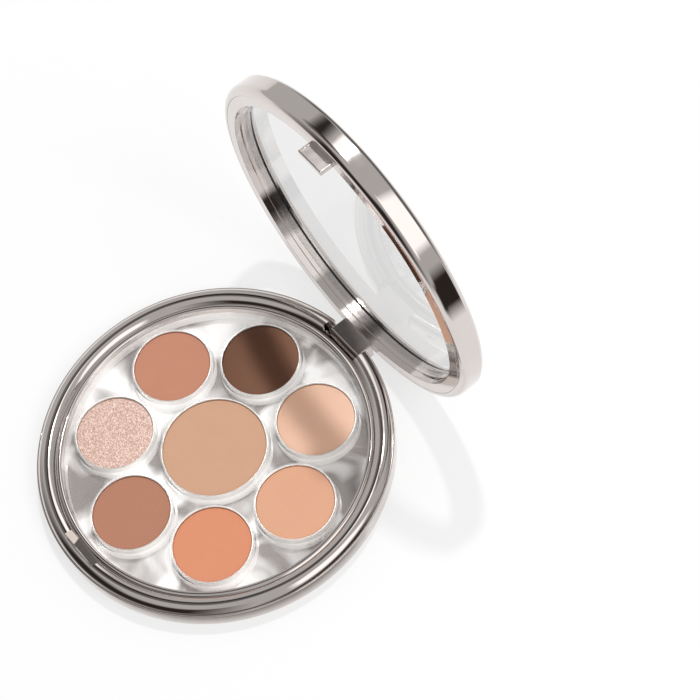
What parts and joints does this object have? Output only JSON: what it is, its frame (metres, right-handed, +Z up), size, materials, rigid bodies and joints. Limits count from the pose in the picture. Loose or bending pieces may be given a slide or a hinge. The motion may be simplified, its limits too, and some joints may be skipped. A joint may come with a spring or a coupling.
{
  "type": "eyeshadow palette",
  "caption": "Round eyeshadow palette, polished metal rings around a clear base with inset pans of pressed powder, and a hinged lid with a clear window, shown open.",
  "frame": {"origin": "middle of the base's flat underside, on the surface it rests on", "axes": "+Z up out of the base, +Y from the middle to the hinge, so the latch is at -Y, +X along the hinge pin"},
  "size_m": [0.099, 0.1116, 0.1007],
  "materials": {
    "polished_metal": "mirror-polished grey metal plating",
    "pan_metal": "thin bright pressed pan",
    "spring_steel": "plain spring steel strip",
    "pin_steel": "plain drawn steel wire",
    "clear_plastic": "clear moulded plastic, polished",
    "powder_dark_brown": "satin pressed powder",
    "powder_coral": "matte pressed powder",
    "powder_glitter": "pressed powder with coarse sparkle",
    "powder_brown": "matte pressed powder with a fine woven emboss",
    "powder_orange": "matte pressed powder with a fine diagonal emboss",
    "powder_peach": "matte pressed powder with a fine woven emboss",
    "powder_sheen": "satin pressed powder with a soft sheen",
    "powder_tan": "matte pressed powder, smooth"
  },
  "bodies": {
    "base": {"base_ring": "polished_metal", "base_bezel": "polished_metal", "base_floor": "clear_plastic", "tray": "clear_plastic", "pan_centre": "pan_metal", "pan_1": "pan_metal", "pan_2": "pan_metal", "pan_3": "pan_metal", "pan_4": "pan_metal", "pan_5": "pan_metal", "pan_6": "pan_metal", "pan_7": "pan_metal", "powder_centre": "powder_tan", "powder_1": "powder_dark_brown", "powder_2": "powder_coral", "powder_3": "powder_glitter", "powder_4": "powder_brown", "powder_5": "powder_orange", "powder_6": "powder_peach", "powder_7": "powder_sheen", "striker": "spring_steel", "hinge_pin": "pin_steel"},
    "lid": {"lid_shell": "polished_metal", "lid_liner": "polished_metal", "lid_window": "clear_plastic", "lid_knuckle": "polished_metal", "lid_catch": "polished_metal"}
  },
  "joints": [
    {"name": "lid_hinge", "type": "hinge", "parent": "base", "child": "lid", "pos_m": [0, 0.0474, 0.0041], "axis": [1, 0, 0], "range_deg": [0, 92]}
  ]
}
